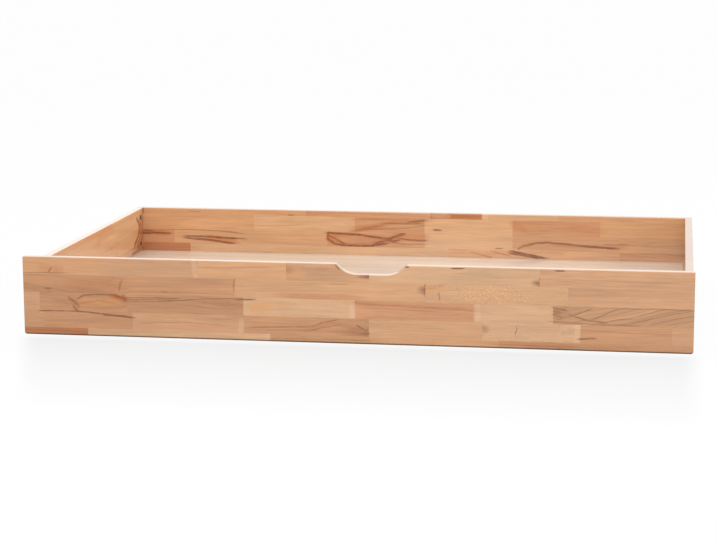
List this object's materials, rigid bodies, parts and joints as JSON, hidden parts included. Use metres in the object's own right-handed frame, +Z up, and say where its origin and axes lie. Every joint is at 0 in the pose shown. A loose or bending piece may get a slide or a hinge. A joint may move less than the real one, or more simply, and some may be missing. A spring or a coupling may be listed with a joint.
{
  "type": "under bed storage box",
  "caption": "Long low open storage box of stave-glued beech with a plywood floor, a taller front board with a hand scoop, and fixed castors that roll it out from under a bed.",
  "frame": {"origin": "on the floor the wheels stand on, under the middle of the box's outline", "axes": "+X along the long front to its right end, +Y from the front board to the back board, +Z up"},
  "size_m": [1.5, 0.95, 0.192],
  "materials": {
    "beech": "oiled satin",
    "birch_plywood": "clear lacquer, semi-gloss",
    "batten_timber": "planed",
    "dowel_wood": "fluted beech, bare",
    "cam_zinc": "dark bronzed zinc",
    "zinc_steel": "zinc plated",
    "pressed_steel": "zinc plated sheet",
    "wheel_plastic": "moulded polyamide",
    "tyre_rubber": "soft grey tread"
  },
  "bodies": {
    "box": {"front_panel": "beech", "back_panel": "beech", "left_side_panel": "beech", "right_side_panel": "beech", "bottom_panel": "birch_plywood", "front_cleat": "batten_timber", "back_cleat": "batten_timber", "left_cleat": "batten_timber", "right_cleat": "batten_timber", "left_cross_rail": "batten_timber", "right_cross_rail": "batten_timber", "cam_locks": "cam_zinc", "cam_bolts": "zinc_steel", "wooden_dowels": "dowel_wood", "cleat_screws": "zinc_steel", "floor_screws": "zinc_steel", "castor_screws": "zinc_steel", "castor_front_left_housing": "pressed_steel", "castor_front_left_axle": "zinc_steel", "castor_front_centre_housing": "pressed_steel", "castor_front_centre_axle": "zinc_steel", "castor_front_right_housing": "pressed_steel", "castor_front_right_axle": "zinc_steel", "castor_rear_left_housing": "pressed_steel", "castor_rear_left_axle": "zinc_steel", "castor_rear_centre_housing": "pressed_steel", "castor_rear_centre_axle": "zinc_steel", "castor_rear_right_housing": "pressed_steel", "castor_rear_right_axle": "zinc_steel"},
    "wheel_front_left": {"castor_front_left_wheel": "wheel_plastic", "castor_front_left_tyre": "tyre_rubber"},
    "wheel_front_centre": {"castor_front_centre_wheel": "wheel_plastic", "castor_front_centre_tyre": "tyre_rubber"},
    "wheel_front_right": {"castor_front_right_wheel": "wheel_plastic", "castor_front_right_tyre": "tyre_rubber"},
    "wheel_rear_left": {"castor_rear_left_wheel": "wheel_plastic", "castor_rear_left_tyre": "tyre_rubber"},
    "wheel_rear_centre": {"castor_rear_centre_wheel": "wheel_plastic", "castor_rear_centre_tyre": "tyre_rubber"},
    "wheel_rear_right": {"castor_rear_right_wheel": "wheel_plastic", "castor_rear_right_tyre": "tyre_rubber"}
  },
  "joints": [
    {"name": "spin_front_left", "type": "hinge", "parent": "box", "child": "wheel_front_left", "pos_m": [-0.655, -0.37, 0.0175], "axis": [1, 0, 0], "continuous": true},
    {"name": "spin_front_centre", "type": "hinge", "parent": "box", "child": "wheel_front_centre", "pos_m": [0, -0.37, 0.0175], "axis": [1, 0, 0], "continuous": true},
    {"name": "spin_front_right", "type": "hinge", "parent": "box", "child": "wheel_front_right", "pos_m": [0.655, -0.37, 0.0175], "axis": [1, 0, 0], "continuous": true},
    {"name": "spin_rear_left", "type": "hinge", "parent": "box", "child": "wheel_rear_left", "pos_m": [-0.655, 0.37, 0.0175], "axis": [1, 0, 0], "continuous": true},
    {"name": "spin_rear_centre", "type": "hinge", "parent": "box", "child": "wheel_rear_centre", "pos_m": [0, 0.37, 0.0175], "axis": [1, 0, 0], "continuous": true},
    {"name": "spin_rear_right", "type": "hinge", "parent": "box", "child": "wheel_rear_right", "pos_m": [0.655, 0.37, 0.0175], "axis": [1, 0, 0], "continuous": true}
  ]
}
